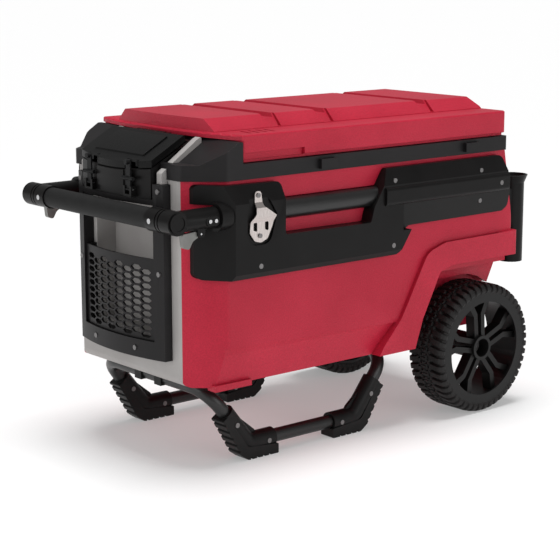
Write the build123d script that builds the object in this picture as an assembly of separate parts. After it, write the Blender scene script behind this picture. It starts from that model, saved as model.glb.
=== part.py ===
from build123d import *
import math
import os

# A wheeled cooler chest, in millimetres.
# +X runs to the wheels, -X to the pull handle, -Y is the left side with the bottle opener, +Z is up.
# Pieces are drawn about the middle of the lid, and save() moves them so that the origin is on the floor
# under the middle of the whole chest.
middle_shift = -5.5

# Tub and lid
front_face = -375.0
rear_top = 373.0
rear_mid = 403.0
rear_low = 388.0
body_half = 204.0
body_bottom = 150.0
body_top = 508.0
belt_height = 345.0
chamfer_long = 64.0
chamfer_wide = 54.0
chamfer_round = 14.0
rear_round = 10.0
bumper_rear = 407.5
shell_wall = 4.0
liner_inset = 31.0
liner_wall = 3.0
liner_front = -265.0
liner_top = 532.0
bulkhead_half = 152.0
bulkhead_back = -296.0
collar_top = 535.0
collar_front = -378.0
collar_half = 210.0
collar_rear = 375.0
deck_rear = -283.0
deck_top = 572.0

# Wheels
wheel_x = 301.0
wheel_radius = 127.0
wheel_outer = 233.0
wheel_width = 90.0
rim_radius = 104.0
axle_radius = 8.0
axle_end = 204.0
spoke_angle = 22.0
well_half = 133.0
well_roof = 299.0

# Lid
lid_front = -281.0
lid_rear = 374.0
lid_half = 206.0
skirt_low = 541.0
rib_low = 536.2
shelf_low = 573.5
shelf_top = 583.0
deck_height = 605.0
lid_bow_radius = 861.0
lid_bow_front = -307.0
groove_places = (-153.0, -29.0, 228.0)
hinge_x = 379.5
hinge_z = 541.0
hinge_places = (-130.0, 130.0)
hinge_pin_radius = 3.0
running_gap = 0.05

# Front frame and dry box
frame_half = 128.0
frame_inner = 106.0
frame_low = 194.0
frame_top = 500.0
bow_radius = 440.0
bow_front = -410.0
pocket_half = 96.0
pocket_back = -335.0
pocket_low = 230.0
pocket_top = 462.0
mesh_top = 370.0
mesh_pitch_y = 23.5
mesh_pitch_z = 12.3
mesh_first = 235.0
box_half = 103.0
box_low = 474.0
box_back = -312.0
box_hinge_x = -320.0
box_hinge_z = 574.0
slope_angle = 29.0
latch_y = 59.0
latch_pivot_x = -412.0
latch_pivot_z = 488.0

# Handle
arm_y = 207.0
arm_z = 451.0
arm_radius = 15.5
arm_front = -376.0
arm_rear = 300.0
groove_depth = 19.4 - arm_y
guide_radius = 18.0
guide_front = -343.0
guide_rear = 330.0
bar_x = -431.0
bar_half = 196.0
bar_radius = 14.0
grip_radius = 18.0
grip_half = 154.0
tee_radius = 20.5
tee_end = 223.0
cap_end = 226.0
trigger_x = -378.0
trigger_z = 427.5

# Side panel
panel_face = 231.0
band_face = 236.0
panel_back = 204.3
recess_floor = 227.5
opener_metal = 2.0

# Skids
skid_middle = -110.0
skid_y = 158.0
skid_radius = 12.5
runner_z = 28.0
bend_offset = 128.0
hoop_offset = 213.0
hoop_z = 136.0
foot_inner = 141.0
foot_outer = 175.0

# Rod holders
rod_x = 432.0
rod_y = 172.8
rod_low = 278.0
rod_top = 451.0
rod_outer = 24.0
rod_bore = 20.5
rod_flare = 30.5

screw_head = 4.5
screw_shank = 2.0


def block(x0, x1, y0, y1, z0, z1):
    """A box given by its limits along each axis."""
    size = Box(x1 - x0, y1 - y0, z1 - z0)
    return Pos((x0 + x1) / 2, (y0 + y1) / 2, (z0 + z1) / 2) * size


def outline(corners):
    """A closed flat outline from (u, v, radius) corners."""
    points = [(u, v) for u, v, _ in corners]
    radii = [r for _, _, r in corners]
    return make_face(FilletPolyline(*points, radius=radii, close=True))


def side_plate(corners, y0, y1):
    """An XZ outline carried across from y0 to y1."""
    return extrude(Plane.XZ.offset(-y1) * outline(corners), amount=y1 - y0)


def flat_plate(corners, z0, z1):
    """An XY outline carried up from z0 to z1."""
    return extrude(Plane.XY.offset(z0) * outline(corners), amount=z1 - z0)


def cross_plate(corners, x0, x1):
    """A YZ outline carried back from x0 to x1."""
    return extrude(Plane.YZ.offset(x0) * outline(corners), amount=x1 - x0)


def bar_x_way(x0, x1, y, z, radius):
    """A round bar along X."""
    return Pos((x0 + x1) / 2, y, z) * Rot(0, 90, 0) * Cylinder(radius, x1 - x0)


def bar_y_way(x, y0, y1, z, radius):
    """A round bar along Y."""
    return Pos(x, (y0 + y1) / 2, z) * Rot(90, 0, 0) * Cylinder(radius, y1 - y0)


def bar_z_way(x, y, z0, z1, radius):
    """A round bar along Z."""
    return Pos(x, y, (z0 + z1) / 2) * Cylinder(radius, z1 - z0)


def other_side(shape):
    """The same piece on the right-hand side."""
    return mirror(shape, about=Plane.XZ)


def both_sides(shape):
    return shape + other_side(shape)


def group(pieces):
    return Compound(children=[solid for piece in pieces for solid in piece.solids()])


def save(name, shape):
    moved = [Pos(middle_shift, 0, 0) * solid for solid in shape.solids()]
    export_step(moved[0] if len(moved) == 1 else Compound(children=moved), "parts/" + name + ".step")


def round_rect(x0, x1, half, front_radius, rear_radius):
    """Plan outline of a box with rounded upright edges."""
    return [
        (x0, -half, front_radius),
        (x1, -half, rear_radius),
        (x1, half, rear_radius),
        (x0, half, front_radius),
    ]


def chamfered(x0, x1, half, long, wide, rear_radius):
    """Plan outline of a box whose two front upright edges are cut off at a slant."""
    return [
        (x0, -half + wide, chamfer_round),
        (x0 + long, -half, chamfer_round),
        (x1, -half, rear_radius),
        (x1, half, rear_radius),
        (x0 + long, half, chamfer_round),
        (x0, half - wide, chamfer_round),
    ]


def bowed(radius, front, half, back, z0, z1):
    """A block whose front face bows forward in plan."""
    drum = bar_z_way(front + radius, 0, z0, z1, radius)
    return drum & block(front - 1, back, -half, half, z0 - 1, z1 + 1)


# ---------------------------------------------------------------- tub


well_arch = [
    (150, 301, 0),
    (400, 301, 0),
    (398, 276, 0),
    (379, 238, 0),
    (350, 254, 0),
    (325, 261, 0),
    (301, 262.5, 0),
    (275, 261, 0),
    (240, 262, 0),
    (200, 268, 0),
]


def tub_block(inset, front, top):
    """The tub's form drawn in by inset.

    It is full depth ahead of the wheels, narrow between them and full width above them.
    """
    low = body_bottom + inset
    roof = well_roof + inset
    wide = [
        (front, top, 0),
        (front, low, 18),
        (130 - inset, low, 6),
        (149 - inset, 205, 0),
        (194 - inset, roof - 9, 12),
        (226 - inset, roof, 8),
        (rear_mid - inset, roof, 3),
        (rear_mid - inset, belt_height, 10),
        (rear_top - inset, top, 0),
    ]
    narrow = [
        (front, top, 0),
        (front, low, 18),
        (rear_low - inset, low, 14),
        (rear_mid - inset, belt_height, 10),
        (rear_top - inset, top, 0),
    ]
    half = body_half - inset
    inner = well_half - inset
    shape = side_plate(wide, -half, half) + side_plate(narrow, -inner, inner)
    shape += block(190, rear_mid - inset, inset - 185, 185 - inset, 283 + inset, roof + 2)
    if inset:
        shape += block(210, rear_mid - 16, inset - 160, 160 - inset, 270 + inset, roof + 2)
    else:
        shape += side_plate(well_arch, -160, 160)
    if inset > shell_wall:
        plan = round_rect(front, rear_mid - inset, half, 12, rear_round)
    else:
        slant = 0.4 * inset
        plan = chamfered(front, rear_mid - inset, half, chamfer_long - slant, chamfer_wide - slant, rear_round)
    return shape & flat_plate(plan, 100, top + 5)


def flank_cuts(wall):
    """Material taken off below the crease on each side, so that the lower flank is set in and tapers.

    The same shape moved in by a wall is kept out of the hollow.
    """
    below = [(-400, 240, 0), (-372, 232, 20), (-325, 219, 20), (150, 205, 0), (150, 90, 0), (-400, 90, 0)]
    step = Pos(0, 0, wall) * side_plate(below, -230, -(body_half - 5.5 - wall))
    edge = 198.5 - wall
    taper = cross_plate([(-edge, 205, 0), (-230, 205, 0), (-230, 140, 0), (11.5 - edge, 140, 0)], -400, 150)
    return both_sides(step + taper)


def fenders():
    """Raised wheel-arch bands, which run round the rear as a bumper."""
    arch = [
        (bumper_rear, 347, 3),
        (206, 345, 60),
        (160, 331, 40),
        (93, 214, 60),
        (48, 166, 10),
        (38, 150, 0),
        (130, 150, 0),
        (149, 205, 0),
        (194, 290, 12),
        (226, 299, 8),
        (bumper_rear, 299, 3),
    ]
    band = both_sides(side_plate(arch, -212, -190))
    bumper = block(385, bumper_rear, -212, 212, 299, 347)
    plan = flat_plate(round_rect(0, bumper_rear, 212, 0, 5), 140, 350)
    clear = block(130, 385, -well_half - 52, well_half + 52, 290, 300)
    return (band + bumper - clear) & plan


def arm_grooves():
    """Channels along each side of the tub that the handle guides lie in."""
    groove = block(front_face - 5, 346, -body_half - 5, groove_depth, arm_z - 19.5, arm_z + 19.5)
    return both_sides(groove)


def tub_outer():
    pads = both_sides(block(-335, -255, -196, -174, body_bottom - 6, body_bottom + 5))
    shape = tub_block(0, front_face, body_top) - flank_cuts(0)
    return shape + fenders() + pads


def bulkhead_zone():
    return block(front_face - 5, bulkhead_back, -bulkhead_half, bulkhead_half, 100, body_top + 5)


def pocket(grow):
    """The recess behind the mesh, grown by a wall on every side but the front."""
    half = pocket_half + grow
    return block(front_face - 5, pocket_back + grow, -half, half, pocket_low - grow, pocket_top + grow)


def box_bay(grow):
    """The bay that the dry box drops into."""
    half = box_half + 0.5 + grow
    return block(front_face - 5, box_back + 0.5 + grow, -half, half, box_low - 0.5 - grow, body_top + 70)


def make_tub():
    outer = tub_outer()
    hollow = tub_block(shell_wall, front_face + shell_wall, body_top + 5) - flank_cuts(shell_wall)
    grooves = arm_grooves()
    hollow = hollow - both_sides(
        block(front_face, 350, -body_half, groove_depth + shell_wall, arm_z - 23.5, arm_z + 23.5)
    )
    drain = bar_x_way(330, 410, 0, 186, 12)
    body = outer - bulkhead_zone() - hollow - grooves - drain

    front = (outer & bulkhead_zone()) - (hollow - pocket(shell_wall) - box_bay(shell_wall))
    front = front - pocket(0) - box_bay(0)

    liner_out = tub_block(liner_inset, liner_front, liner_top)
    liner_in = tub_block(liner_inset + liner_wall, liner_front + liner_wall, liner_top + 5)
    liner = liner_out - liner_in - drain
    foam = (hollow & block(front_face, 400, -300, 300, 100, body_top)) - bulkhead_zone() - liner_out - drain
    return body, front, liner, foam


# ---------------------------------------------------------------- collar and deck


def deck_profile(drop):
    """Side outline of the sloping front deck, lowered by drop."""
    return [
        (collar_front + drop, body_top - 1, 0),
        (collar_front + drop, 519 - drop, 3),
        (-311, 560 - drop, 12),
        (-292, deck_top - drop, 5),
        (deck_rear - drop, deck_top - drop, 2),
        (deck_rear - drop, body_top - 1, 0),
    ]


def trim_strip():
    """The pale strip beside the dry box, down the slope and over the front of the deck."""
    corners = [
        (-388, frame_top + 0.5, 0),
        (-388, 519, 4),
        (-378, 526, 4),
        (-312, 571, 8),
        (-303, 575, 2),
        (-303, 560, 0),
        (-374, 512, 0),
        (-376, frame_top + 0.5, 0),
    ]
    return side_plate(corners, -121, -107)


def make_collar(liner_clear):
    ring = chamfered(collar_front, collar_rear, collar_half, 62, 53, 8)
    band = flat_plate(ring, body_top, collar_top)
    deck = side_plate(deck_profile(0), -collar_half, collar_half)
    plan = flat_plate(ring, body_top, 600)
    inner_ring = chamfered(collar_front + 4, collar_rear, collar_half - 4, 60.4, 51.4, 8)
    pockets = side_plate(deck_profile(4), -collar_half, collar_half) & flat_plate(inner_ring, body_top - 1, 600)
    pockets -= block(-400, 0, -118, 118, 500, 600)
    collar = (band + deck) & plan
    collar = collar - pockets - box_bay(0) - liner_clear
    strips = both_sides(trim_strip())
    collar = collar - strips
    loops = []
    for x in (-95, 270):
        eye = block(x - 19, x + 19, -218, -collar_half, 513, 530)
        eye -= block(x - 13, x + 13, -215.6, 1 - collar_half, 505, 535)
        loops.append(eye)
        loops.append(other_side(eye))
    return collar, strips, group(loops)


# ---------------------------------------------------------------- dry box


def slope_line(x, lift):
    """Height of the dry box lid's top face at x, raised by lift."""
    return 541 + (x + 396) * math.tan(math.radians(slope_angle)) + lift


def make_dry_box():
    """The bin under the sloping lid, its lid and its seal."""
    rim = -13.5
    under = [
        (bow_front - 5, box_low, 0),
        (bow_front - 5, slope_line(bow_front - 5, rim), 0),
        (box_back, slope_line(box_back, rim) - 6, 0),
        (box_back, box_low, 0),
    ]
    outer = bowed(bow_radius, bow_front, box_half, box_back, box_low, 620)
    outer += bowed(bow_radius, bow_front - 2, 40, box_back, 486, 524)
    bin_outer = outer & side_plate(under, -box_half, box_half)
    cavity = bowed(bow_radius - 3, bow_front + 3, box_half - 3, box_back - 3, box_low + 3, 620)
    bin_shell = bin_outer - cavity
    for side in (-1, 1):
        y = side * latch_y
        boss = block(-416, -403, y - 12, y + 12, 476, 494)
        boss -= block(-420, -408.6, y - 6.6, y + 6.6, 480, 496)
        boss -= bar_y_way(latch_pivot_x, y - 20, y + 20, latch_pivot_z, 1.6)
        bin_shell += boss
    knuckle_plate = block(-323, box_back, -40, 40, 556, 563)
    bin_shell = bin_shell + (knuckle_plate & outer)
    ears = block(-324, -316, -52, -42, 556, 577) + block(-324, -316, 42, 52, 556, 577)
    bin_shell = bin_shell + ears
    pin_bore = bar_y_way(box_hinge_x, -60, 60, box_hinge_z, 2.0)
    bin_shell -= pin_bore
    pin = bar_y_way(box_hinge_x, -52, 52, box_hinge_z, 2.0)

    lid_half_width = box_half + 2.5
    skin = [
        (bow_front - 5, slope_line(bow_front - 5, -12), 0),
        (bow_front - 5, slope_line(bow_front - 5, 0), 0),
        (-326, slope_line(-326, 0), 3),
        (-326, slope_line(-326, -12), 0),
    ]
    lid_plan = bowed(bow_radius, bow_front, lid_half_width, -320, 500, 640)
    lid = side_plate(skin, -lid_half_width, lid_half_width) & lid_plan
    inner = [
        (bow_front, slope_line(bow_front, -20), 0),
        (bow_front, slope_line(bow_front, -5), 0),
        (-331, slope_line(-331, -5), 0),
        (-331, slope_line(-331, -20), 0),
    ]
    hollow = bowed(bow_radius - 5, bow_front + 5, lid_half_width - 5, -331, 500, 640)
    lid = lid - (side_plate(inner, -lid_half_width, lid_half_width) & hollow)
    raised = [
        (-392, slope_line(-392, -1), 0),
        (-390, slope_line(-390, 2.2), 1),
        (-340, slope_line(-340, 2.2), 1),
        (-338, slope_line(-338, -1), 0),
    ]
    lid += side_plate(raised, -72, 72)
    for side in (-1, 1):
        y = side * latch_y
        lid -= block(bow_front - 5, -400.3, y - 17, y + 17, 500, 560)
    knuckle = bar_y_way(box_hinge_x, -41.6, 41.6, box_hinge_z, 4.2)
    web = block(-329, box_hinge_x, -41.6, 41.6, 570.5, 577)
    lid = lid + web + knuckle - bar_y_way(box_hinge_x, -60, 60, box_hinge_z, 2.0 + running_gap)
    seal_low = -12
    seal = [
        (bow_front, slope_line(bow_front, seal_low), 0),
        (bow_front, slope_line(bow_front, -5), 0),
        (-331.5, slope_line(-331.5, -5), 0),
        (-331.5, slope_line(-331.5, seal_low), 0),
    ]
    ring = bowed(bow_radius - 5.5, bow_front + 5.5, box_half - 3, -332, 500, 640)
    ring -= bowed(bow_radius - 11, bow_front + 11, box_half - 8, -337, 500, 640)
    for side in (-1, 1):
        y = side * latch_y
        ring -= block(bow_front - 5, -395, y - 22, y + 22, 500, 640)
    gasket = side_plate(seal, -box_half, box_half) & ring
    return bin_shell, lid, gasket, pin


def make_latch(side):
    """A rubber T-latch: a strap with a cross bar and a knob, hinged at its foot."""
    y = side * latch_y
    strap = block(-413.6, -410.4, y - 6, y + 6, latch_pivot_z, 534)
    eye = bar_y_way(latch_pivot_x, y - 6, y + 6, latch_pivot_z, 3.2)
    cross = bar_y_way(-413.8, y - 16, y + 16, 507, 3.4)
    knob = bar_x_way(-419, -410.4, y, 535, 4.6)
    latch = strap + eye + cross + knob
    return latch - bar_y_way(latch_pivot_x, y - 20, y + 20, latch_pivot_z, 1.6 + running_gap)


def make_latch_pins():
    pins = []
    for side in (-1, 1):
        y = side * latch_y
        pins.append(bar_y_way(latch_pivot_x, y - 12, y + 12, latch_pivot_z, 1.6))
    return group(pins)


# ---------------------------------------------------------------- front frame


def make_front_frame(strips):
    """The bowed black frame, its honeycomb pocket and its screws."""
    frame = bowed(bow_radius, bow_front, frame_half, front_face, frame_low, frame_top)
    frame -= block(-450, -300, -frame_inner, frame_inner, 226, box_low - 10)
    frame -= block(-450, -300, -frame_inner, frame_inner, box_low - 0.5, frame_top + 10)
    frame -= strips
    mesh = bowed(bow_radius - 5, bow_front + 5, frame_inner - 0.5, front_face, 226.5, mesh_top)
    mesh -= bowed(bow_radius - 9, bow_front + 9, frame_inner + 5, front_face + 5, 200, mesh_top + 5)
    ends = block(front_face - 18, front_face, -frame_inner + 0.5, -frame_inner + 8, 226.5, mesh_top)
    mesh += both_sides(ends) & bowed(bow_radius - 5, bow_front + 5, frame_inner, front_face, 226.5, mesh_top)
    hexagon = [(-13, 0, 0), (-7, -4.7, 0), (7, -4.7, 0), (13, 0, 0), (7, 4.7, 0), (-7, 4.7, 0)]
    cell = cross_plate(hexagon, bow_front - 10, -385)
    cells = []
    for column in range(8):
        y = (column - 3.5) * mesh_pitch_y
        lift = mesh_pitch_z / 2 if column % 2 else 0
        for row in range(10):
            cells.append(Pos(0, y, mesh_first + lift + row * mesh_pitch_z) * cell)
    mesh = mesh - cells
    places = [(-117, 488), (-117, 346), (117, 488), (117, 346), (-60, 210), (60, 210)]
    screws = []
    for y, z in places:
        x = bow_front + bow_radius - math.sqrt(bow_radius**2 - y**2)
        frame -= bar_x_way(x - 5, x + 12, y, z, screw_shank)
        head = bar_x_way(x - 1.6, x + 1.2, y, z, screw_head)
        frame -= head
        screws.append(head + bar_x_way(x, x + 12, y, z, screw_shank))
    return frame, mesh, group(screws)


# ---------------------------------------------------------------- lid


def lid_plan_block(extra, z0, z1):
    """The lid's plan with its bowed front, drawn in by extra."""
    drum = bar_z_way(lid_bow_front + lid_bow_radius, 0, z0, z1, lid_bow_radius - extra)
    plan = round_rect(lid_bow_front - 5, lid_rear - extra, lid_half - extra, 0, 10 - extra)
    return drum & flat_plate(plan, z0, z1)


def make_lid():
    shelf = lid_plan_block(0, shelf_low, shelf_top)
    skirt_plan = round_rect(lid_front, lid_rear, lid_half, 6, 10)
    skirt = flat_plate(skirt_plan, skirt_low, shelf_low + 1)
    shelf = fillet(shelf.edges().group_by(Axis.Z)[-1], 3.5)
    skirt = fillet(skirt.edges().group_by(Axis.Z)[0], 2)
    rib = flat_plate(round_rect(lid_front + 5, lid_rear - 5, lid_half - 5, 4, 5), rib_low, skirt_low + 3)
    deck_section = [
        (-142, shelf_top - 2, 0),
        (-142, shelf_top + 1, 0),
        (-116, deck_height, 5),
        (116, deck_height, 5),
        (142, shelf_top + 1, 0),
        (142, shelf_top - 2, 0),
    ]
    deck = cross_plate(deck_section, lid_bow_front - 5, lid_rear)
    rear_bevel = [(352, deck_height + 5, 0), (lid_rear + 5, 576, 0), (lid_rear + 5, deck_height + 5, 0)]
    deck = (deck & lid_plan_block(4, 560, 640)) - side_plate(rear_bevel, -220, 220)
    for x in groove_places:
        groove = [(x - 15, deck_height + 5, 0), (x - 11, 597, 2), (x + 11, 597, 2), (x + 15, deck_height + 5, 0)]
        deck -= side_plate(groove, -160, 160)
        plan = flat_plate([(x - 10, -150, 0), (x + 10, -150, 0), (x + 18, -100, 0), (x - 20, -100, 0)], 584, 610)
        floor = [(-155, 583.5, 0), (-133, 583.5, 0), (-108, 606, 0), (-155, 606, 0)]
        deck -= both_sides(cross_plate(floor, x - 25, x + 25) & plan)
    shell = shelf + skirt + rib + deck
    hollow_plan = round_rect(lid_front + 12, lid_rear - 12, lid_half - 12, 5, 8)
    hollow = flat_plate(hollow_plan, skirt_low - 5, shelf_top - 5)
    deck_hollow = cross_plate(
        [(-134, 570, 0), (-134, shelf_top - 6, 0), (-110, 592, 0), (110, 592, 0), (134, shelf_top - 6, 0), (134, 570, 0)],
        lid_front + 8,
        lid_rear - 20,
    )
    shell = shell - hollow - deck_hollow
    notch = block(lid_front + 4, -143, -lid_half - 2, -lid_half + 7, skirt_low - 1, skirt_low + 12)
    shell -= both_sides(notch)
    for index in range(4):
        slot = Pos(-247 + 17 * index, -172, shelf_top) * Rot(0, 0, -8) * Box(5, 38, 5)
        shell -= both_sides(slot)
    leaf_gap = []
    for y in hinge_places:
        leaf_gap.append(block(lid_rear - 6, lid_rear + 5, y - 22, y + 22, skirt_low - 5, skirt_low + 14))
    for gap in leaf_gap:
        shell -= gap

    plug_plan = round_rect(-258, 334, 168, 12, 12)
    panel = flat_plate(plug_plan, 526, 536.5) + flat_plate(round_rect(-267, 350, 192, 8, 8), 536.5, 540)
    cup = flat_plate(round_rect(-255, 331, 165, 9, 9), 529, 545)
    inner_panel = panel - cup
    foam = flat_plate(round_rect(-255, 331, 165, 9, 9), 529.5, 570)
    ring_out = flat_plate(round_rect(-262, 339, 178, 12, 12), 535.4, 536.5)
    gasket = ring_out - flat_plate(plug_plan, 530, 540)
    return shell, inner_panel, foam, gasket


def make_hinges():
    """Rear hinges: a leaf on the lid, a leaf on the collar and a pin at each place."""
    lid_leaves = []
    body_leaves = []
    pins = []
    for y in hinge_places:
        barrel = 5.5
        lid_leaf = block(lid_rear - 6, lid_rear - 1.5, y - 21.5, y + 21.5, skirt_low + 1, skirt_low + 13.5)
        lid_leaf += block(lid_rear - 2, hinge_x, y - 9.5, y + 9.5, hinge_z, hinge_z + barrel)
        lid_leaf += bar_y_way(hinge_x, y - 9.5, y + 9.5, hinge_z, barrel)
        lid_leaf -= bar_y_way(hinge_x, y - 30, y + 30, hinge_z, hinge_pin_radius + running_gap)
        lid_leaves.append(lid_leaf)
        for side in (-1, 1):
            low = y + side * 10
            high = y + side * 21
            near, far = min(low, high), max(low, high)
            ear = bar_y_way(hinge_x, near, far, hinge_z, barrel)
            ear += block(collar_rear, hinge_x + barrel, near, far, 514, hinge_z)
            ear -= bar_y_way(hinge_x, near - 2, far + 2, hinge_z, hinge_pin_radius)
            body_leaves.append(ear)
        pins.append(bar_y_way(hinge_x, y - 22.5, y + 22.5, hinge_z, hinge_pin_radius))
    return group(lid_leaves), group(body_leaves), group(pins)


# ---------------------------------------------------------------- handle and side panels


def make_guides():
    """Fixed guide tubes that the handle arms slide in, with a bush at each mouth."""
    tube = bar_x_way(guide_front + 6, guide_rear, -arm_y, arm_z, guide_radius)
    tube -= bar_x_way(guide_front, guide_rear + 5, -arm_y, arm_z, arm_radius + 0.5)
    bush = bar_x_way(guide_front, guide_front + 6, -arm_y, arm_z, guide_radius)
    bush -= bar_x_way(guide_front - 5, guide_front + 10, -arm_y, arm_z, arm_radius + 0.08)
    return group([tube, other_side(tube)]), group([bush, other_side(bush)])


def make_arm():
    arm = bar_x_way(arm_front, arm_rear, -arm_y, arm_z, arm_radius)
    arm -= bar_x_way(arm_front - 5, arm_rear + 5, -arm_y, arm_z, arm_radius - 1.8)
    return arm


def rivet_places():
    return ((-367, 448.5), (-355, 448.5))


def make_handle():
    """The bar, its grip, the moulded elbows at its ends, their caps, rivets and screws."""
    tube = bar_y_way(bar_x, -bar_half, bar_half, arm_z, bar_radius)
    tube -= bar_y_way(bar_x, -bar_half - 5, bar_half + 5, arm_z, bar_radius - 2)
    grip = bar_y_way(bar_x, -grip_half, grip_half, arm_z, grip_radius)
    grip -= bar_y_way(bar_x, -grip_half - 5, grip_half + 5, arm_z, bar_radius)

    tee = bar_y_way(bar_x, -tee_end, -grip_half - 1, arm_z, tee_radius)
    for y in (-194, -186):
        ring = bar_y_way(bar_x, y - 1.5, y + 1.5, arm_z, tee_radius + 1)
        tee -= ring - bar_y_way(bar_x, y - 3, y + 3, arm_z, tee_radius - 1.4)
    tee += bar_x_way(bar_x, guide_front - 1.5, -arm_y, arm_z, grip_radius + 0.3)
    tee -= bar_x_way(arm_front, guide_front, -arm_y, arm_z, arm_radius)
    tee -= bar_y_way(bar_x, -bar_half, 0, arm_z, bar_radius)
    tee -= bar_y_way(bar_x, -tee_end - 3, -tee_end + 4, arm_z, 17)
    boss = side_plate(
        [(-375, 440.5, 7.9), (-375, 456.5, 7.9), (-347, 456.5, 7.9), (-347, 440.5, 7.9)],
        -arm_y - 19.6,
        -arm_y - 14,
    )
    tee += boss - bar_x_way(-390, guide_front, -arm_y, arm_z, arm_radius)
    slot = block(-418, -372, -arm_y - 5.6, -arm_y + 5.6, 423.5, 444.5)
    tee -= slot
    ears = []
    for side in (-1, 1):
        y = -arm_y + side * 7.8
        ear = side_plate([(-387, 443, 2), (-369, 443, 2), (-371, 421.5, 6), (-384, 421.5, 6)], y - 2.1, y + 2.1)
        ears.append(ear)
    for ear in ears:
        tee += ear - bar_x_way(arm_front - 5, guide_front, -arm_y, arm_z, arm_radius)
    tee -= bar_x_way(arm_front, guide_front, -arm_y, arm_z, arm_radius)
    tee -= bar_y_way(trigger_x, -arm_y - 20, -arm_y + 20, trigger_z, 1.6)
    cap = bar_y_way(bar_x, -cap_end, -tee_end + 4, arm_z, 17)
    cap -= bar_y_way(bar_x, -cap_end - 1, -cap_end + 1.4, arm_z, 12.5)

    metal = []
    for x, z in rivet_places():
        rivet = bar_y_way(x, -arm_y - 20.8, -arm_y - 16.2, z, 3.2)
        tee -= rivet
        metal.append(rivet)
        metal.append(other_side(rivet))
    screw = bar_x_way(bar_x - tee_radius, bar_x - tee_radius + 3, -170, arm_z, screw_head)
    tee -= screw
    metal.append(screw)
    metal.append(other_side(screw))
    return tube, grip, tee, cap, group(metal)


def make_trigger():
    """A grey paddle under the arm: a front face, a round toe and a hollow back."""
    body = [
        (-414, 429.5, 3),
        (-411, 406.5, 5),
        (-400, 402.5, 5),
        (-392, 416.5, 12),
        (-379, 422.5, 3),
        (-373, 424.5, 3),
        (-373, 432.5, 3),
    ]
    paddle = side_plate(body, -arm_y - 5, -arm_y + 5)
    return paddle - bar_y_way(trigger_x, -arm_y - 20, -arm_y + 20, trigger_z, 1.6 + running_gap)


def make_trigger_pins():
    pin = bar_y_way(trigger_x, -arm_y - 9.9, -arm_y + 9.9, trigger_z, 1.6)
    return group([pin, other_side(pin)])


def panel_screw_places():
    return (
        (56, 478),
        (283, 477),
        (332, 450),
        (283, 419),
        (51, 360),
        (-262, 361),
    )


def panel_face_at(x, z):
    """How far out the panel's face is at a screw."""
    if z > 472:
        return panel_face - (z - 471) / 2
    if abs(z - arm_z) < 2:
        return band_face
    if x > 75:
        return panel_face - (434 - z) / 3
    return panel_face


def make_side_panel(tub_solid):
    """The left side panel: front housing, lower band and rear housing in one moulding."""
    shape = [
        (-361, 503, 8),
        (-207, 500, 8),
        (-207, 410, 4),
        (-6, 408, 5),
        (2, 436, 4),
        (44, 500, 8),
        (351, 500, 10),
        (367, 400, 10),
        (355, 391, 6),
        (100, 390, 10),
        (66, 341, 12),
        (-361, 341, 12),
    ]
    panel = side_plate(shape, -panel_face, -150)
    facet = [(-362, -171, 0), (-316, -panel_face - 1, 0), (-316, -260, 0), (-400, -260, 0), (-400, -171, 0)]
    panel -= flat_plate(facet, 300, 540)
    panel -= cross_plate([(-panel_face - 1, 469, 0), (-213, 505, 0), (-250, 505, 0), (-250, 469, 0)], -400, 400)
    panel -= cross_plate([(-panel_face - 1, 352, 0), (-250, 352, 0), (-250, 330, 0), (-217, 330, 0)], -400, 90)
    panel -= cross_plate([(-panel_face - 1, 437, 0), (-250, 437, 0), (-250, 385, 0), (-214.7, 385, 0)], 75, 400)
    band = cross_plate([(-band_face, 434, 7), (-band_face, 468, 7), (-205, 468, 0), (-205, 434, 0)], 28, 356)
    bell = bar_x_way(-344, -320, -arm_y, arm_z, 24.4)
    panel += band + (bell & block(-350, -300, -band_face, -panel_back + 2, 400, 500))
    panel -= bar_x_way(-400, guide_rear + 4, -arm_y, arm_z, guide_radius + 0.8)
    panel -= block(-400, guide_rear + 4, -arm_y, -150, arm_z - 18.8, arm_z + 18.8)
    panel -= tub_solid
    for x0, x1, z0, z1 in ((-300, -214, 356, 425), (-195, 50, 356, 402)):
        panel -= block(x0, x1, -(panel_face - 8), -170, z0, z1)
    recess = [(-283, 492, 8), (-254, 492, 8), (-226, 448, 6), (-242, 398, 20), (-292, 398, 20), (-292, 446, 8)]
    return panel - side_plate(recess, -250, -recess_floor)


def make_opener():
    """A bent stainless bottle opener: a tab, a ridge over the tube and a loop with a prising tongue."""
    shape = side_plate(
        [
            (-274, 490, 6),
            (-261, 490, 6),
            (-257, 464, 4),
            (-231, 447, 3),
            (-238, 428, 8),
            (-248, 408, 8),
            (-262, 402, 8),
            (-276, 405, 10),
            (-287, 420, 9),
            (-285, 440, 6),
            (-275, 452, 4),
        ],
        -240,
        -220,
    )
    for x0, x1 in ((-279, -271), (-254, -246)):
        shape -= side_plate([(x0, 437, 2), (x1, 437, 2), (x1, 421, 2), (x0, 424, 2)], -240, -220)
    front = [(-229.6, 495), (-229.6, 471), (-235.2, 462), (-235.9, 447), (-231.4, 437), (-231.4, 395)]
    back = [(y + opener_metal, z) for y, z in reversed(front)]
    bend = cross_plate([(y, z, 0) for y, z in front + back], -300, -220)
    opener = shape & bend
    holes = []
    screws = []
    for x, z, face in ((-267, 483, 229.6), (-265, 414, 231.4)):
        hole = bar_y_way(x, -face, -214, z, screw_shank)
        holes.append(hole)
        opener -= hole
        screws.append(bar_y_way(x, -face - 2, -face, z, 4.0) + hole)
    return opener, holes, screws


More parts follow.
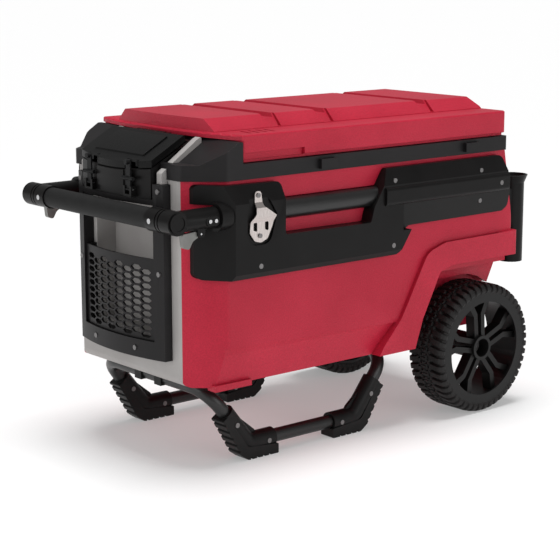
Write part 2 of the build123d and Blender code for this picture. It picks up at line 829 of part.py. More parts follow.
def make_panel_screws(panel, panel_other, opener_screws, opener_holes):
    """The screws of both panels and the holes they leave."""
    screws = []
    for x, z in panel_screw_places():
        face = panel_face_at(x, z)
        head = bar_y_way(x, -face - 0.4, -face + 2.6, z, screw_head)
        shank = bar_y_way(x, -face + 2.6, -face + 10, z, screw_shank)
        screw = head + shank
        room = bar_y_way(x, -face - 8, -face + 2.6, z, screw_head) + shank
        panel -= room
        panel_other -= other_side(room)
        screws.append(screw)
        screws.append(other_side(screw))
    for hole in opener_holes:
        panel -= hole
    return panel, panel_other, group(screws + opener_screws)


# ---------------------------------------------------------------- wheels


def make_rim():
    """A rim about Z with its outer face up at 0: a barrel, five double spokes and a cupped hub."""
    barrel = Pos(0, 0, -44) * (Cylinder(rim_radius, 84) - Cylinder(rim_radius - 6, 90))
    flange = Pos(0, 0, -4) * (Cylinder(rim_radius + 6, 4) - Cylinder(rim_radius - 12, 6))
    hub = Pos(0, 0, -45) * Cylinder(24, 74)
    hub -= Pos(0, 0, -17) * Cylinder(18, 34)
    disc_low = -36
    spokes = None
    for index in range(5):
        for side in (-1, 1):
            arm = [
                (20, side * 4, 0),
                (20, side * 14, 0),
                (64, side * 15, 0),
                (96, side * 34, 0),
                (98, side * 21, 0),
                (68, side * 5, 0),
            ]
            corners = arm if side > 0 else arm[::-1]
            spoke = Rot(0, 0, 72 * index + spoke_angle) * flat_plate(corners, disc_low, -14)
            spokes = spoke if spokes is None else spokes + spoke
    rim = barrel + flange + hub + spokes
    return rim - Pos(0, 0, -45) * Cylinder(axle_radius + running_gap, 120)


def make_tyre():
    section = [
        (rim_radius, -6.2, 0),
        (rim_radius + 6, -6.2, 0),
        (rim_radius + 7, 0, 3),
        (118, 0, 7),
        (wheel_radius, -10, 6),
        (wheel_radius, -wheel_width + 10, 6),
        (118, -wheel_width, 7),
        (rim_radius, -wheel_width + 6, 3),
    ]
    return revolve(Plane.XZ * outline(section), axis=Axis.Z)


def place_wheel(shape):
    """From the wheel's own axis to the left wheel's place."""
    return Pos(wheel_x, -wheel_outer, wheel_radius) * Rot(90, 0, 0) * shape


def make_axle():
    axle = bar_y_way(wheel_x, -axle_end, axle_end, wheel_radius, axle_radius)
    bracket = side_plate(
        [(wheel_x - 22, 150, 0), (wheel_x + 22, 150, 0), (wheel_x + 14, 112, 10), (wheel_x - 14, 112, 10)],
        -131,
        -104,
    )
    bracket -= bar_y_way(wheel_x, -140, -90, wheel_radius, axle_radius)
    spacer = bar_y_way(wheel_x, -150.4, -131.2, wheel_radius, 12)
    spacer -= bar_y_way(wheel_x, -160, -120, wheel_radius, axle_radius)
    nut = bar_y_way(wheel_x, -axle_end - 2.5, -axle_end + 4.6, wheel_radius, 11)
    nut -= bar_y_way(wheel_x, -axle_end, -axle_end + 8, wheel_radius, axle_radius)
    return axle, group([bracket, other_side(bracket)]), group(
        [nut, other_side(nut), spacer, other_side(spacer)]
    )


# ---------------------------------------------------------------- skids


def foot_band():
    """Side outline of the treaded band round the outside and the underside of a foot."""
    return [
        (-303, 80, 2),
        (-291, 88, 2),
        (-246, 24, 12),
        (-176, 18, 2),
        (-176, 0, 2),
        (-246, 0, 12),
        (-263, 12, 6),
    ]


def make_hoop():
    """The front hoop: a bar across under the tub, bent down into both front feet."""
    lean = (hoop_offset - bend_offset) / (hoop_z - runner_z)
    start_z = 48
    start_x = skid_middle - bend_offset - (start_z - runner_z) * lean
    top_x = skid_middle - hoop_offset
    path = FilletPolyline(
        (start_x, -skid_y, start_z),
        (top_x, -skid_y, hoop_z),
        (top_x, skid_y, hoop_z),
        (start_x, skid_y, start_z),
        radius=46,
    )
    section = Plane(origin=path @ 0, z_dir=path % 0) * Circle(skid_radius)
    return sweep(section, path=path)


def make_feet(hoop, runner):
    line = FilletPolyline((-288.4, -skid_y, 92), (-238, -skid_y, runner_z), (-180, -skid_y, runner_z), radius=25)
    elbow = sweep(Plane(origin=line @ 0, z_dir=line % 0) * Circle(17.5), path=line)
    foot = side_plate(foot_band(), -foot_outer, -foot_inner) + elbow
    steps = 5
    for index in range(steps):
        share = (index + 0.5) / steps
        foot -= Pos(-303 + share * 40, -skid_y, 79 - share * 67) * Rot(0, 31, 0) * Box(6, 60, 4.5)
    for index in range(4):
        foot -= Pos(-238 + 14 * index, -skid_y, 0) * Box(5, 60, 7)
    web = side_plate([(-264, 84, 0), (-222, 50, 0), (-210, 30, 0), (-250, 30, 0)], -skid_y - 3, -skid_y + 3)
    foot = foot + web - hoop - runner
    holes = []
    for x, z in ((-271, 69), (-198, 27)):
        holes.append(bar_y_way(x, -foot_outer - 1.2, -foot_outer + 2, z, screw_head))
        holes.append(bar_y_way(x, -foot_inner - 2, -foot_inner + 1.2, z, screw_head))
    for hole in holes:
        foot -= hole
    return foot, holes


def to_rear(shape):
    return mirror(shape, about=Plane.YZ.offset(skid_middle))


def make_clamps(hoop):
    clamps = []
    x = skid_middle - hoop_offset
    clamp = block(x - 15, x + 15, -40, -20, 124, body_bottom) - hoop
    for piece in (clamp, other_side(clamp)):
        clamps.append(piece)
        clamps.append(to_rear(piece))
    return group(clamps)


# ---------------------------------------------------------------- rear fittings


def make_rod_holder():
    tube = bar_z_way(rod_x, -rod_y, rod_low, rod_top - 16, rod_outer)
    flare = Pos(rod_x, -rod_y, rod_top - 8) * Cone(rod_outer, rod_flare, 16)
    holder = tube + flare
    holder -= bar_z_way(rod_x, -rod_y, rod_low + 4, rod_top + 5, rod_bore)
    holder -= Pos(rod_x, -rod_y, rod_top - 7.5) * Cone(rod_bore, rod_flare - 3, 17)
    return holder


def make_rod_bracket(tub_solid):
    bracket = block(375, rod_x, -rod_y - 16, -rod_y + 16, 355, 425)
    return bracket - tub_solid - bar_z_way(rod_x, -rod_y, 200, 500, rod_outer - 1)


def make_drain():
    plug = bar_x_way(345, 400, 0, 186, 12)
    plug -= bar_x_way(340, 388, 0, 186, 8)
    return plug + bar_x_way(392.5, 406, 0, 186, 17)


# ---------------------------------------------------------------- build


def main():
    os.makedirs("parts", exist_ok=True)
    body, front, liner, foam = make_tub()
    liner_clear = tub_block(liner_inset, liner_front, 620)
    collar, strips, loops = make_collar(liner_clear)
    save("insulation_foam", foam)
    save("tub_liner", liner)
    save("trim_strips", group([strips]))
    save("tie_down_loops", loops)

    bin_shell, box_lid, box_gasket, box_pin = make_dry_box()
    save("dry_box", bin_shell)
    save("dry_box_lid", box_lid)
    save("dry_box_gasket", box_gasket)
    save("dry_box_hinge_pin", box_pin)
    save("latch_left", make_latch(-1))
    save("latch_right", make_latch(1))
    save("latch_pins", make_latch_pins())

    frame, mesh, frame_screws = make_front_frame(strips)
    save("front_frame", frame)
    save("mesh_pocket", mesh)
    save("frame_screws", frame_screws)
    save("front_bulkhead", front - strips)

    shell, inner_panel, lid_foam, lid_gasket = make_lid()
    save("lid_shell", shell)
    save("lid_inner_panel", inner_panel)
    save("lid_foam", lid_foam)
    save("lid_gasket", lid_gasket)
    lid_leaves, body_leaves, hinge_pins = make_hinges()
    save("lid_hinge_leaves", lid_leaves)
    save("body_hinge_leaves", body_leaves)
    save("lid_hinge_pins", hinge_pins)

    guides, bushes = make_guides()
    save("guide_tubes", guides)
    save("guide_bushes", bushes)
    arm = make_arm()
    save("handle_arm_left", arm)
    save("handle_arm_right", other_side(arm))
    tube, grip, tee, cap, metal = make_handle()
    save("crossbar_tube", tube)
    save("grip_sleeve", grip)
    save("handle_elbow_left", tee)
    save("handle_elbow_right", other_side(tee))
    save("handle_caps", group([cap, other_side(cap)]))
    save("handle_rivets", metal)
    trigger = make_trigger()
    save("trigger_left", trigger)
    save("trigger_right", other_side(trigger))
    save("trigger_pins", make_trigger_pins())

    tub_solid = tub_outer() - arm_grooves()
    opener, opener_holes, opener_screws = make_opener()
    plain_panel = make_side_panel(tub_solid)
    panel, panel_other, panel_screws = make_panel_screws(
        plain_panel, other_side(plain_panel), opener_screws, opener_holes
    )
    save("side_panel_left", panel)
    save("side_panel_right", panel_other)
    save("panel_screws", panel_screws)
    save("bottle_opener", opener)

    holder = make_rod_holder()
    bracket = make_rod_bracket(tub_solid)
    holder = holder + bracket
    save("rod_holder_left", holder)
    save("rod_holder_right", other_side(holder))

    hoop = make_hoop()
    runner = bar_x_way(skid_middle - 112, skid_middle + 112, -skid_y, runner_z, skid_radius)
    foot, foot_holes = make_feet(hoop, runner)
    save("front_hoop", hoop)
    save("rear_hoop", to_rear(hoop))
    save("runner_tubes", group([runner, other_side(runner)]))
    save("foot_front_left", foot)
    save("foot_front_right", other_side(foot))
    save("foot_rear_left", to_rear(foot))
    save("foot_rear_right", to_rear(other_side(foot)))
    screws = []
    for hole in foot_holes:
        screws += [hole, other_side(hole), to_rear(hole), to_rear(other_side(hole))]
    save("foot_screws", group(screws))
    save("hoop_clamps", make_clamps(hoop))

    rim = place_wheel(make_rim())
    tyre = place_wheel(make_tyre())
    save("rim_left", rim)
    save("rim_right", other_side(rim))
    save("tyre_left", tyre)
    save("tyre_right", other_side(tyre))
    axle, brackets, nuts = make_axle()
    save("axle", axle)
    save("axle_brackets", brackets)
    save("axle_nuts", nuts)

    save("drain_plug", make_drain())

    save("body_shell", body)
    save("collar", collar)


main()
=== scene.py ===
import math

import bmesh
import bpy
import numpy as np
from mathutils import Euler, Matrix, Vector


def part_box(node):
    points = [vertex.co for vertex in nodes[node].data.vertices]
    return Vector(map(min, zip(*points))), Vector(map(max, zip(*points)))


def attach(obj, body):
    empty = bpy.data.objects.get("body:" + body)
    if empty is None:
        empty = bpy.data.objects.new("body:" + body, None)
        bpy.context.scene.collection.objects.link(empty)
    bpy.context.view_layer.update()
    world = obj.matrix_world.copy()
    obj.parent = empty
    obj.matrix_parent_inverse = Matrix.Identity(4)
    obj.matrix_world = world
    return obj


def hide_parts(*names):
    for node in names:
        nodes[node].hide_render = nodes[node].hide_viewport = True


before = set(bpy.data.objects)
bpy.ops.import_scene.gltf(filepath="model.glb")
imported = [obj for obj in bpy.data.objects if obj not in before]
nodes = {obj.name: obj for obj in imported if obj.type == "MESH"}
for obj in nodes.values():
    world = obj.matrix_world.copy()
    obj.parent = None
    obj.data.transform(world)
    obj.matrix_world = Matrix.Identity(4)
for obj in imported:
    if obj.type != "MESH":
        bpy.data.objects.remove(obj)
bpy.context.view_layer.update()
print("frame loaded")

# helpers

reliefShare = 4000  # grain size in mm over this is the grain's relief in metres, a quarter of its size


def hexLinear(code):
    # sRGB hex to linear, with alpha 1
    values = [int(code[i:i + 2], 16) / 255 for i in (1, 3, 5)]
    linear = [v / 12.92 if v <= 0.04045 else ((v + 0.055) / 1.055) ** 2.4 for v in values]
    return (*linear, 1.0)


def addNode(tree, kind, settings=None, links=None):
    # one node, its settings (sockets or properties) and what feeds it: {input: (node, output)}
    node = tree.nodes.new(kind)
    for key, value in (settings or {}).items():
        if isinstance(key, int) or key in node.inputs:
            node.inputs[key].default_value = value
        else:
            setattr(node, key, value)
    for key, (source, output) in (links or {}).items():
        tree.links.new(source.outputs[output], node.inputs[key])
    return node


def newMaterial(name):
    material = bpy.data.materials.new(name)
    material.use_nodes = True
    tree = material.node_tree
    tree.nodes.clear()
    coords = addNode(tree, "ShaderNodeTexCoord")
    return material, tree, coords


def mouldedPlastic(name, settings):
    # injection-moulded plastic: pebbled mould grain, a faint cloudiness in the colour, uneven gloss
    material, tree, coords = newMaterial(name)
    grain = addNode(tree, "ShaderNodeTexNoise",
                    {"Scale": 1000 / settings["grainMm"], "Detail": 2.5, "Roughness": 0.55},
                    {"Vector": (coords, "Object")})
    cloud = addNode(tree, "ShaderNodeTexNoise", {"Scale": 1000 / settings["cloudMm"], "Detail": 3.0},
                    {"Vector": (coords, "Object")})
    tint = addNode(tree, "ShaderNodeValToRGB", {}, {"Fac": (cloud, "Fac")})
    tint.color_ramp.elements[0].position = 0.3
    tint.color_ramp.elements[0].color = hexLinear(settings["dark"])
    tint.color_ramp.elements[1].position = 0.7
    tint.color_ramp.elements[1].color = hexLinear(settings["light"])
    speck = addNode(tree, "ShaderNodeMapRange",
                    {"From Min": 0.3, "From Max": 0.7,
                     "To Min": 1 - settings["speckle"], "To Max": 1 + settings["speckle"]},
                    {"Value": (grain, "Fac")})
    colour = addNode(tree, "ShaderNodeVectorMath", {"operation": "SCALE"},
                     {0: (tint, "Color"), "Scale": (speck, "Result")})
    gloss = addNode(tree, "ShaderNodeMapRange",
                    {"To Min": settings["gloss"][0], "To Max": settings["gloss"][1]},
                    {"Value": (cloud, "Fac")})
    bump = addNode(tree, "ShaderNodeBump",
                   {"Strength": settings["bump"], "Distance": settings["grainMm"] / reliefShare},
                   {"Height": (grain, "Fac")})
    shader = addNode(tree, "ShaderNodeBsdfPrincipled", {"IOR": 1.49, "Specular IOR Level": settings["sheen"]},
                     {"Base Color": (colour, "Vector"), "Roughness": (gloss, "Result"),
                      "Normal": (bump, "Normal")})
    addNode(tree, "ShaderNodeOutputMaterial", {}, {"Surface": (shader, "BSDF")})
    return material


def metalFinish(name, settings):
    # metal: fine lines or specks from how it was finished, broken up by a faint smear in the gloss
    material, tree, coords = newMaterial(name)
    stretch = addNode(tree, "ShaderNodeMapping", {"Scale": settings["stretch"]},
                      {"Vector": (coords, "Object")})
    lines = addNode(tree, "ShaderNodeTexNoise", {"Scale": 1000 / settings["grainMm"], "Detail": 3.0},
                    {"Vector": (stretch, "Vector")})
    smear = addNode(tree, "ShaderNodeTexNoise", {"Scale": 40.0, "Detail": 2.0},
                    {"Vector": (coords, "Object")})
    tint = addNode(tree, "ShaderNodeValToRGB", {}, {"Fac": (lines, "Fac")})
    tint.color_ramp.elements[0].position = 0.3
    tint.color_ramp.elements[0].color = hexLinear(settings["dark"])
    tint.color_ramp.elements[1].position = 0.7
    tint.color_ramp.elements[1].color = hexLinear(settings["light"])
    gloss = addNode(tree, "ShaderNodeMapRange",
                    {"To Min": settings["gloss"][0], "To Max": settings["gloss"][1]},
                    {"Value": (smear, "Fac")})
    bump = addNode(tree, "ShaderNodeBump",
                   {"Strength": settings["bump"], "Distance": settings["grainMm"] / reliefShare},
                   {"Height": (lines, "Fac")})
    shader = addNode(tree, "ShaderNodeBsdfPrincipled", {"Metallic": settings["metallic"]},
                     {"Base Color": (tint, "Color"), "Roughness": (gloss, "Result"),
                      "Normal": (bump, "Normal")})
    addNode(tree, "ShaderNodeOutputMaterial", {}, {"Surface": (shader, "BSDF")})
    return material


# materials

plasticKinds = {
    # polyethylene tub and lid: the red is even, the pebble grain scatters the light to a soft matt
    "mouldedPolyethyleneRed": dict(dark="#b01c34", light="#bc243c", grainMm=2.4, cloudMm=120, speckle=0.13,
                                   gloss=(0.38, 0.48), bump=0.9, sheen=0.25),
    # the same plastic in pale grey, a touch dusty
    "mouldedPolyethyleneGrey": dict(dark="#a09c9a", light="#adaaa8", grainMm=1.6, cloudMm=90, speckle=0.03,
                                    gloss=(0.5, 0.6), bump=0.3, sheen=0.2),
    # grained polypropylene collar: charcoal with a broad satin sheen
    "mouldedPolypropyleneCharcoal": dict(dark="#191819", light="#1f1d1e", grainMm=1.3, cloudMm=80,
                                         speckle=0.06, gloss=(0.40, 0.50), bump=0.35, sheen=0.2),
    # grained polypropylene panels: near black, slightly glossier on the long flats
    "mouldedPolypropyleneBlack": dict(dark="#0f0e0e", light="#141313", grainMm=1.1, cloudMm=70, speckle=0.06,
                                      gloss=(0.30, 0.40), bump=0.22, sheen=0.14),
    # smooth ABS dry box lid: black with a clear reflection of the lights
    "polishedAbsBlack": dict(dark="#090909", light="#0d0d0d", grainMm=0.8, cloudMm=60, speckle=0.03,
                             gloss=(0.24, 0.32), bump=0.05, sheen=0.12),
    # smooth polystyrene liner, off-white
    "smoothPolystyreneWhite": dict(dark="#d9d9d6", light="#e2e2df", grainMm=2.0, cloudMm=90, speckle=0.01,
                                   gloss=(0.32, 0.42), bump=0.05, sheen=0.5),
    # poured polyurethane foam: cream, closed cells that show as pinholes
    "pouredPolyurethaneFoam": dict(dark="#d5c79b", light="#e6dbb6", grainMm=1.0, cloudMm=40, speckle=0.08,
                                   gloss=(0.8, 0.9), bump=0.8, sheen=0.3),
    # extruded silicone seal: soft and dull
    "extrudedSiliconeSeal": dict(dark="#101011", light="#151516", grainMm=0.9, cloudMm=30, speckle=0.04,
                                 gloss=(0.6, 0.7), bump=0.1, sheen=0.2),
    # moulded TPE latch straps: matt black with a faint rubbery bloom
    "mouldedElastomerLatch": dict(dark="#0d0d0e", light="#121213", grainMm=0.7, cloudMm=20, speckle=0.05,
                                  gloss=(0.42, 0.55), bump=0.15, sheen=0.2),
    # EVA foam grip: fine cells, no reflection but a broad haze
    "expandedEvaGrip": dict(dark="#121212", light="#191919", grainMm=0.9, cloudMm=25, speckle=0.1,
                            gloss=(0.62, 0.72), bump=0.4, sheen=0.25),
    # solid EVA tyre: dusty black rubber with flow marks
    "solidEvaTyre": dict(dark="#151313", light="#1d1b1b", grainMm=1.2, cloudMm=35, speckle=0.08,
                         gloss=(0.5, 0.65), bump=0.3, sheen=0.3),
    # nylon rim: satin black
    "mouldedNylonRim": dict(dark="#101010", light="#171616", grainMm=0.9, cloudMm=50, speckle=0.05,
                            gloss=(0.34, 0.46), bump=0.15, sheen=0.25),
    # glass-filled nylon feet: slightly speckled, scuffed gloss
    "glassFilledNylonFoot": dict(dark="#0f0e0e", light="#161515", grainMm=1.0, cloudMm=25, speckle=0.08,
                                 gloss=(0.36, 0.5), bump=0.25, sheen=0.2),
    # acetal trigger paddles: mid grey, smooth
    "mouldedAcetalGrey": dict(dark="#70706d", light="#7c7c79", grainMm=0.9, cloudMm=20, speckle=0.03,
                              gloss=(0.36, 0.46), bump=0.1, sheen=0.4),
}
metalKinds = {
    # powder-coated steel tube: black paint with the coat's fine orange peel
    "powderCoatedTube": dict(dark="#101010", light="#171717", grainMm=1.4, stretch=(1, 1, 1),
                             gloss=(0.32, 0.42), bump=0.2, metallic=0.0),
    # dark anodised aluminium: drawn tube, faint lines along X
    "anodisedAluminiumDark": dict(dark="#29282a", light="#343335", grainMm=0.8, stretch=(0.05, 1, 1),
                                  gloss=(0.35, 0.45), bump=0.1, metallic=1.0),
    # brushed stainless opener: lines run down the blade
    "brushedStainless": dict(dark="#b5aca8", light="#d0c8c5", grainMm=0.7, stretch=(1, 1, 0.06),
                             gloss=(0.26, 0.38), bump=0.15, metallic=1.0),
    # dark zinc-plated screws
    "zincPlatedScrew": dict(dark="#6a6868", light="#868484", grainMm=0.5, stretch=(1, 1, 1),
                            gloss=(0.3, 0.42), bump=0.1, metallic=1.0),
    # bright steel pins and rivets, turned
    "turnedSteel": dict(dark="#b4b4b6", light="#cdcdce", grainMm=0.5, stretch=(1, 0.1, 1), gloss=(0.22, 0.32),
                        bump=0.1, metallic=1.0),
}
materials = {name: mouldedPlastic(name, kind) for name, kind in plasticKinds.items()}
materials.update({name: metalFinish(name, kind) for name, kind in metalKinds.items()})

finishOf = {
    "mouldedPolyethyleneRed": ["body_shell", "lid_shell"],
    "mouldedPolyethyleneGrey": ["front_bulkhead", "trim_strips"],
    "mouldedPolypropyleneCharcoal": ["collar", "front_frame", "mesh_pocket", "tie_down_loops"],
    "mouldedPolypropyleneBlack": ["side_panel_left", "side_panel_right", "dry_box", "handle_elbow_left",
                                  "handle_elbow_right", "handle_caps", "lid_hinge_leaves",
                                  "body_hinge_leaves", "guide_bushes", "rod_holder_left",
                                  "rod_holder_right", "drain_plug"],
    "polishedAbsBlack": ["dry_box_lid"],
    "smoothPolystyreneWhite": ["tub_liner", "lid_inner_panel"],
    "pouredPolyurethaneFoam": ["insulation_foam", "lid_foam"],
    "extrudedSiliconeSeal": ["lid_gasket", "dry_box_gasket"],
    "mouldedElastomerLatch": ["latch_left", "latch_right"],
    "expandedEvaGrip": ["grip_sleeve"],
    "solidEvaTyre": ["tyre_left", "tyre_right"],
    "mouldedNylonRim": ["rim_left", "rim_right"],
    "glassFilledNylonFoot": ["foot_front_left", "foot_front_right", "foot_rear_left", "foot_rear_right",
                             "hoop_clamps"],
    "mouldedAcetalGrey": ["trigger_left", "trigger_right"],
    "powderCoatedTube": ["front_hoop", "rear_hoop", "runner_tubes", "guide_tubes", "axle_brackets"],
    "anodisedAluminiumDark": ["handle_arm_left", "handle_arm_right", "crossbar_tube"],
    "brushedStainless": ["bottle_opener"],
    "zincPlatedScrew": ["panel_screws", "frame_screws", "foot_screws", "axle_nuts"],
    "turnedSteel": ["handle_rivets", "trigger_pins", "latch_pins", "dry_box_hinge_pin", "lid_hinge_pins",
                    "axle"],
}
for finish, names in finishOf.items():
    for name in names:
        data = nodes[name].data
        data.materials.clear()
        data.materials.append(materials[finish])
print("materials on", sum(len(names) for names in finishOf.values()), "nodes")

# softened edges

softened = {
    # node: (body it rides on, material slot, edge radius in mm)
    "body_shell": ("chest", "red_plastic", 1.6),
    "front_bulkhead": ("chest", "grey_plastic", 1.2),
    "collar": ("chest", "charcoal_plastic", 1.6),
    "front_frame": ("chest", "charcoal_plastic", 1.5),
    "side_panel_left": ("chest", "black_plastic", 1.4),
    "side_panel_right": ("chest", "black_plastic", 1.4),
    "dry_box_lid": ("dry_lid", "black_plastic", 1.2),
    "lid_shell": ("lid", "red_plastic", 1.6),
    "handle_elbow_left": ("handle", "black_plastic", 0.8),
    "handle_elbow_right": ("handle", "black_plastic", 0.8),
    "rim_left": ("wheel_left", "rim_plastic", 1.0),
    "rim_right": ("wheel_right", "rim_plastic", 1.0),
    "foot_front_left": ("chest", "foot_plastic", 0.8),
    "foot_front_right": ("chest", "foot_plastic", 0.8),
    "foot_rear_left": ("chest", "foot_plastic", 0.8),
    "foot_rear_right": ("chest", "foot_plastic", 0.8),
}


softening = {
    "mergeGap": 1e-5,    # metres within which corners are one
    "flatAngle": 0.6,    # degrees below which two triangles are one face
    "sharpAngle": 16,    # degrees above which an edge is shaded as an edge
    "bevelAngle": 20,    # degrees above which an edge is rounded
    "segments": 2,
}


def softCopy(node, body, radiusMm):
    # a merged copy of the node, its flat faces made whole again, with rounded edges where faces meet sharply
    mesh = nodes[node].data.copy()
    mesh.transform(nodes[node].matrix_world)
    form = bmesh.new()
    form.from_mesh(mesh)
    bmesh.ops.remove_doubles(form, verts=form.verts, dist=softening["mergeGap"])
    bmesh.ops.dissolve_limit(form, angle_limit=math.radians(softening["flatAngle"]),
                             verts=form.verts, edges=form.edges)
    form.to_mesh(mesh)
    form.free()
    mesh.polygons.foreach_set("use_smooth", np.ones(len(mesh.polygons), dtype=bool))
    mesh.set_sharp_from_angle(angle=math.radians(softening["sharpAngle"]))
    parts = node.split("_")
    piece = bpy.data.objects.new("soft" + "".join(part.capitalize() for part in parts), mesh)
    bpy.context.scene.collection.objects.link(piece)
    bevel = piece.modifiers.new("edges", "BEVEL")
    bevel.width = radiusMm / 1000
    bevel.segments = softening["segments"]
    bevel.limit_method = "ANGLE"
    bevel.angle_limit = math.radians(softening["bevelAngle"])
    bevel.harden_normals = True
    bevel.use_clamp_overlap = True
    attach(piece, body)
    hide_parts(node)
    return piece


for node, (body, slotName, radiusMm) in softened.items():
    softCopy(node, body, radiusMm)
print("softened", len(softened), "nodes")

# tyres

tyre = {
    "lugs": 48,          # shoulder blocks round the tyre
    "lugDepth": 0.0055,  # how deep the gaps between blocks are
    "gapShare": 0.34,    # share of the pitch that is gap at the shoulder
    "gapBlur": 0.06,     # how softly a gap's edge falls, in pitches
    "gapSlant": 0.55,    # how far a gap leans from shoulder to crown, in pitches
    "gapReach": (0.30, 0.40),      # shares of the half width where the gaps stop short of the crown
    "zigzagPlace": 0.20,           # share of the half width where the crown grooves run
    "zigzagSwing": 0.05,
    "zigzagEdge": (0.035, 0.075),  # where a crown groove's wall starts and ends
    "zigzagDepth": 0.8,            # share of the lug depth
    "sipeEdge": (0.03, 0.09),
    "sipeReach": 0.13,
    "sipeDepth": 0.5,
    "wallFade": (0.024, 0.012),    # metres under the crown where the tread begins and is full
    "notch": 0.035,                # how far a gap pulls in the side of the shoulder
    "notchEdge": (0.86, 0.98),
    "around": 48 * 18,   # grid steps round the tyre
    "across": 84,        # grid steps across the section
}


def gridMesh(name, points, closeU, closeV):
    # points is a (rows, columns, 3) array; quads join neighbours, wrapping where asked
    rows, columns = points.shape[:2]
    index = np.arange(rows * columns).reshape(rows, columns)
    rowIds = np.arange(rows if closeU else rows - 1)
    columnIds = np.arange(columns if closeV else columns - 1)
    a = index[np.ix_(rowIds, columnIds)]
    b = index[np.ix_((rowIds + 1) % rows, columnIds)]
    c = index[np.ix_((rowIds + 1) % rows, (columnIds + 1) % columns)]
    d = index[np.ix_(rowIds, (columnIds + 1) % columns)]
    quads = np.stack([a, b, c, d], axis=-1).reshape(-1, 4)
    mesh = bpy.data.meshes.new(name)
    mesh.from_pydata(points.reshape(-1, 3).tolist(), [], quads.tolist())
    mesh.validate()
    piece = bpy.data.objects.new(name, mesh)
    bpy.context.scene.collection.objects.link(piece)
    return piece


def smoothStep(value, low, high):
    t = np.clip((value - low) / (high - low), 0, 1)
    return t * t * (3 - 2 * t)


def resample(path, count):
    # points evenly spaced along a broken line
    steps = np.linalg.norm(np.diff(path, axis=0), axis=1)
    along = np.concatenate([[0], np.cumsum(steps)])
    at = np.linspace(0, along[-1], count)
    return np.stack([np.interp(at, along, path[:, k]) for k in range(path.shape[1])], axis=1), at / along[-1]


def treadTyre(name, side):
    # a closed section turned about the axle; the radius drops where gaps between lugs cross it.
    # gaps run in from both shoulders, slanted, and two zigzag grooves run round the crown.
    # the outline is (radius, sideways) in metres: bead, side wall, rounded shoulder, crown, and back.
    low, high = (np.array(corner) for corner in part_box("tyre_left" if side < 0 else "tyre_right"))
    centre = (low + high) / 2
    radius = (high[2] - low[2]) / 2
    half = (high[1] - low[1]) / 2
    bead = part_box("rim_left")[1][2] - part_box("rim_left")[0][2]
    inner = bead / 2 - 0.006
    outline = np.array([
        [inner, half - 0.004], [bead / 2 + 0.0015, half - 0.0015], [radius - 0.013, half],
        [radius - 0.007, half - 0.001], [radius - 0.0015, half - 0.006], [radius, half - 0.013],
        [radius, -half + 0.013],
        [radius - 0.0015, -half + 0.006], [radius - 0.007, -half + 0.001], [radius - 0.013, -half],
        [bead / 2 + 0.0015, -half + 0.0015], [inner, -half + 0.004], [inner, half - 0.004],
    ])
    section, _ = resample(outline, tyre["across"])
    section = section[:-1]
    turn = np.linspace(0, 2 * math.pi, tyre["around"], endpoint=False)
    angle, r = np.meshgrid(turn, section[:, 0], indexing="ij")
    _, y = np.meshgrid(turn, section[:, 1], indexing="ij")
    share = np.abs(y) / half
    pitch = angle / (2 * math.pi) * tyre["lugs"]
    slant = np.where(y > 0, 0.0, 0.5) + tyre["gapSlant"] * (1 - share)
    phase = (pitch + slant) % 1.0
    halfGap = tyre["gapShare"] / 2
    gap = 1 - smoothStep(np.abs(phase - 0.5), halfGap - tyre["gapBlur"], halfGap + tyre["gapBlur"])
    reach = smoothStep(share, *tyre["gapReach"])
    wave = tyre["zigzagPlace"] + tyre["zigzagSwing"] * np.sign(np.sin(2 * math.pi * pitch))
    groove = 1 - smoothStep(np.abs(share - wave), *tyre["zigzagEdge"])
    sipe = 1 - smoothStep(np.abs((pitch * 2) % 1.0 - 0.5), *tyre["sipeEdge"])
    sipe = sipe * (share < tyre["sipeReach"]) * tyre["sipeDepth"]
    outer = smoothStep(r, radius - tyre["wallFade"][0], radius - tyre["wallFade"][1])
    tread = np.maximum(np.maximum(gap * reach, groove * tyre["zigzagDepth"]), sipe)
    r = r - tyre["lugDepth"] * outer * tread
    flank = 1 - tyre["notch"] * gap * outer * smoothStep(share, *tyre["notchEdge"])
    y = y * flank
    points = np.stack([centre[0] + r * np.cos(angle), centre[1] + y, centre[2] + r * np.sin(angle)], axis=-1)
    piece = gridMesh(name, points, True, True)
    piece.data.materials.append(materials["solidEvaTyre"])
    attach(piece, "wheel_left" if side < 0 else "wheel_right")
    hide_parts("tyre_left" if side < 0 else "tyre_right")
    return piece


treadTyre("treadTyreLeft", -1)
treadTyre("treadTyreRight", 1)
print("tyres made")

# floor, light and camera

studio = {
    "floor": "#cfcfcf",
    "floorGlow": 0.28,     # the floor is a backlit sheet, which keeps the shadow a pale neutral grey
    "sunStrength": 2.7,
    "sunAngle": 28.0,      # degrees, a broad overhead bank of lamps
    "worldFill": 0.30,     # how much the white walls light the chest
    "floorSpan": 60.0,     # metres from the middle to the floor's edge
    "floorGap": 0.0004,    # the floor lies this far under the feet
    "aim": (0, 0, 0.35),   # what both soft boxes point at
    "sideBox": dict(place=(0.3, -3.0, 1.1), size=(2.4, 1.4), power=22.0),
    "frontBox": dict(place=(-3.2, 0.2, 1.1), size=(1.8, 1.4), power=18.0),
}


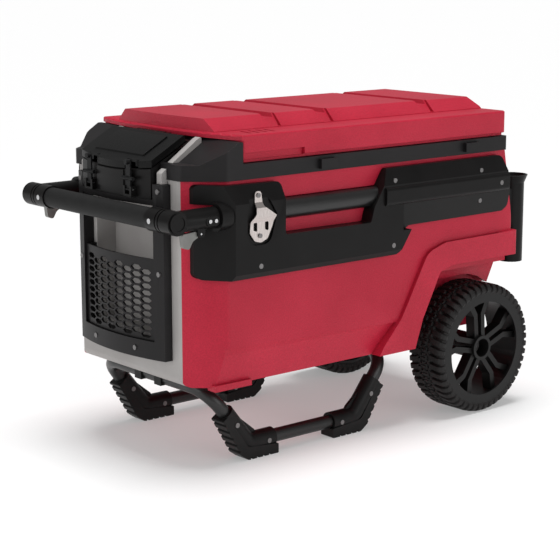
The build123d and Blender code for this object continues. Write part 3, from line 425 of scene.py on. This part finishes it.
def makeFloor():
    # one large quad under the feet
    span = studio["floorSpan"]
    points = np.array([[[-span, -span, 0], [-span, span, 0]], [[span, -span, 0], [span, span, 0]]], float)
    points[..., 2] -= studio["floorGap"]
    floor = gridMesh("studioFloor", points, False, False)
    material, tree, coords = newMaterial("paperBackdrop")
    noise = addNode(tree, "ShaderNodeTexNoise", {"Scale": 30.0}, {"Vector": (coords, "Object")})
    gloss = addNode(tree, "ShaderNodeMapRange", {"To Min": 0.85, "To Max": 0.95}, {"Value": (noise, "Fac")})
    shader = addNode(tree, "ShaderNodeBsdfPrincipled",
                     {"Base Color": hexLinear(studio["floor"]), "Emission Color": (1, 1, 1, 1),
                      "Emission Strength": studio["floorGlow"], "Specular IOR Level": 0.1},
                     {"Roughness": (gloss, "Result")})
    addNode(tree, "ShaderNodeOutputMaterial", {}, {"Surface": (shader, "BSDF")})
    floor.data.materials.append(material)


def areaLight(name, place, size, power):
    light = bpy.data.lights.new(name, "AREA")
    light.shape = "RECTANGLE"
    light.size, light.size_y = size
    light.energy = power
    lamp = bpy.data.objects.new(name, light)
    lamp.location = place
    direction = np.array(studio["aim"], float) - np.array(place, float)
    flat = math.hypot(direction[0], direction[1])
    turn = math.atan2(direction[1], direction[0]) - math.pi / 2
    lamp.rotation_euler = Euler((math.atan2(flat, -direction[2]), 0, turn))
    bpy.context.scene.collection.objects.link(lamp)


def makeStudio():
    world = bpy.data.worlds.new("studioWorld")
    world.use_nodes = True
    tree = world.node_tree
    tree.nodes.clear()
    ray = addNode(tree, "ShaderNodeLightPath")
    fill = addNode(tree, "ShaderNodeBackground", {"Color": (1, 1, 1, 1), "Strength": studio["worldFill"]})
    seen = addNode(tree, "ShaderNodeBackground", {"Color": (1, 1, 1, 1), "Strength": 1.0})
    mix = addNode(tree, "ShaderNodeMixShader", {}, {0: (ray, "Is Camera Ray"), 1: (fill, "Background"),
                                                    2: (seen, "Background")})
    addNode(tree, "ShaderNodeOutputWorld", {}, {"Surface": (mix, "Shader")})
    bpy.context.scene.world = world
    light = bpy.data.lights.new("overheadBank", "SUN")
    light.energy = studio["sunStrength"]
    light.angle = math.radians(studio["sunAngle"])
    lamp = bpy.data.objects.new("overheadBank", light)
    lamp.location = (0, 0, 3)
    bpy.context.scene.collection.objects.link(lamp)
    areaLight("sideBox", **studio["sideBox"])
    areaLight("frontBox", **studio["frontBox"])
    bpy.context.scene.view_settings.view_transform = "Standard"


view = {
    "place": (-1.9845, -2.312, 0.890),
    "downward": 11.58,   # degrees below the horizon
    "heading": 49.8,     # degrees from +X towards +Y
    "lens": 104.1,       # mm, on a 36 mm sensor
}


def makeCamera():
    lens = bpy.data.cameras.new("camera")
    lens.lens = view["lens"]
    lens.sensor_width = 36
    lens.clip_end = 100
    camera = bpy.data.objects.new("camera", lens)
    camera.location = view["place"]
    tilt = math.radians(90 - view["downward"])
    camera.rotation_euler = Euler((tilt, 0, math.radians(view["heading"] - 90)))
    bpy.context.scene.collection.objects.link(camera)
    bpy.context.scene.camera = camera


makeFloor()
makeStudio()
makeCamera()
print("studio set")
